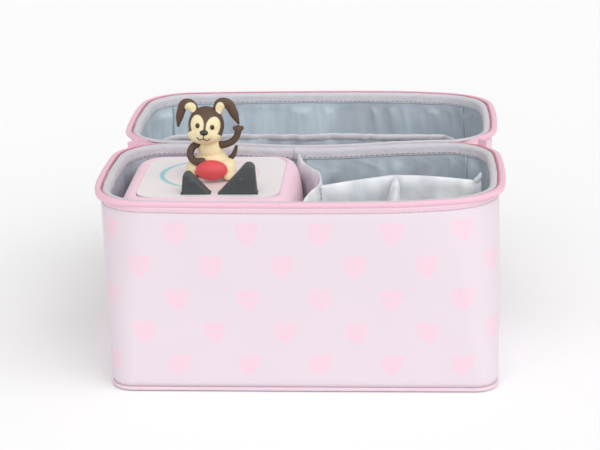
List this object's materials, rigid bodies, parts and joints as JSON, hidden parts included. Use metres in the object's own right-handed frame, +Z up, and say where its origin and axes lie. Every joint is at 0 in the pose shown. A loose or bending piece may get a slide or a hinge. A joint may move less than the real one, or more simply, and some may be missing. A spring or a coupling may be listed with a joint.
{
  "type": "soft audio player carry case",
  "caption": "Padded zip-up fabric carry case, lid folded back, holding a cube audio player with a puppy figurine and a loose divided organiser.",
  "frame": {"origin": "middle of the case's flat underside, on the surface it stands on", "axes": "+Z up, -Y towards the front wall, +X to the right as seen from the front; the open lid lies towards +Y"},
  "size_m": [0.2698, 0.3006, 0.1827],
  "materials": {
    "printed_fabric": "woven, printed",
    "pink_fabric": "woven",
    "pink_tape": "woven tape",
    "zip_coil": "moulded nylon",
    "foam": "soft closed-cell foam",
    "board": "stiffener board",
    "lining": "smooth woven",
    "binding": "woven tape",
    "panel_fabric": "padded, smooth woven",
    "webbing": "ribbed webbing",
    "slider_metal": "satin",
    "pull_rubber": "moulded",
    "cover_fabric": "padded, fine knit",
    "plate_plastic": "satin",
    "ring_ink": "printed",
    "ear_rubber": "matt",
    "housing_plastic": "moulded",
    "steel": "brushed",
    "contact_metal": "plated",
    "foot_rubber": "matt",
    "speaker_black": "matt",
    "magnet_steel": "nickel plated",
    "board_green": "solder mask",
    "cell_wrap": "shrink wrap",
    "copper_coil": "enamelled wire",
    "toy_cream": "matt painted",
    "toy_brown": "matt painted",
    "toy_red": "matt painted",
    "toy_base": "matt"
  },
  "bodies": {
    "case": {"case_base_board": "board", "case_base_fabric": "pink_fabric", "case_base_piping": "pink_tape", "case_floor_pad": "lining", "case_rim_binding": "binding", "case_rim_welt": "pink_tape", "case_wall_fabric": "printed_fabric", "case_wall_foam": "foam", "case_wall_lining": "lining", "case_zip_coil": "zip_coil", "case_zip_tape": "pink_tape", "hinge_strip_case_side": "pink_fabric", "zip_slider_left": "slider_metal", "zip_slider_right": "slider_metal"},
    "lid": {"handle_patches": "pink_fabric", "handle_strap": "webbing", "hinge_strip_lid_side": "pink_fabric", "lid_pocket": "lining", "lid_rim_binding": "binding", "lid_rim_welt": "pink_tape", "lid_top_board": "board", "lid_top_fabric": "printed_fabric", "lid_top_lining": "lining", "lid_top_piping": "pink_tape", "lid_wall_fabric": "printed_fabric", "lid_wall_foam": "foam", "lid_wall_lining": "lining", "lid_zip_coil": "zip_coil", "lid_zip_tape": "pink_tape"},
    "organiser": {"organiser_cross_divider": "panel_fabric", "organiser_long_divider": "panel_fabric", "organiser_separator": "panel_fabric"},
    "player": {"player_base_plate": "housing_plastic", "player_base_screws": "steel", "player_battery_cells": "cell_wrap", "player_battery_tray": "housing_plastic", "player_charge_contacts": "contact_metal", "player_circuit_board": "board_green", "player_ear_switches": "speaker_black", "player_fabric_cover": "cover_fabric", "player_foot_ring": "foot_rubber", "player_inner_housing": "housing_plastic", "player_seat_magnets": "magnet_steel", "player_seat_ring": "ring_ink", "player_speaker": "speaker_black", "player_speaker_magnet": "magnet_steel", "player_tag_antenna": "copper_coil", "player_top_plate": "plate_plastic"},
    "ear_small": {"ear_small": "ear_rubber"},
    "ear_large": {"ear_large": "ear_rubber"},
    "figurine": {"figurine_ball": "toy_red", "figurine_base_disc": "toy_base", "figurine_body": "toy_cream", "figurine_head": "toy_brown", "figurine_magnet": "magnet_steel", "figurine_tag": "board_green"},
    "zip_pull_left": {"zip_pull_left": "pull_rubber"},
    "zip_pull_right": {"zip_pull_right": "pull_rubber"}
  },
  "joints": [
    {"name": "lid_hinge", "type": "hinge", "parent": "case", "child": "lid", "pos_m": [0, 0.0712, 0.135], "axis": [-1, 0, 0], "range_deg": [-180, 0]},
    {"name": "player_lift", "type": "slide", "parent": "case", "child": "player", "axis": [0, 0, 1], "range_m": [0, 0.15]},
    {"name": "figurine_lift", "type": "slide", "parent": "player", "child": "figurine", "axis": [0, 0, 1], "range_m": [0, 0.06]},
    {"name": "organiser_lift", "type": "slide", "parent": "case", "child": "organiser", "axis": [0, 0, 1], "range_m": [0, 0.14]},
    {"name": "ear_small_press", "type": "hinge", "parent": "player", "child": "ear_small", "pos_m": [-0.069, -0.0395, 0.129], "axis": [-1, 0, 0], "range_deg": [0, 3], "stiffness_Nm_per_rad": 0.4},
    {"name": "ear_large_press", "type": "hinge", "parent": "player", "child": "ear_large", "pos_m": [-0.04, -0.0395, 0.129], "axis": [-1, 0, 0], "range_deg": [0, 3], "stiffness_Nm_per_rad": 0.4},
    {"name": "pull_left_swing", "type": "hinge", "parent": "case", "child": "zip_pull_left", "pos_m": [-0.12626, 0.06003, 0.1334], "axis": [0.6428, 0.766, 0], "range_deg": [0, 85]},
    {"name": "pull_right_swing", "type": "hinge", "parent": "case", "child": "zip_pull_right", "pos_m": [0.12626, 0.06003, 0.1334], "axis": [0.6428, -0.766, 0], "range_deg": [0, 85]}
  ]
}
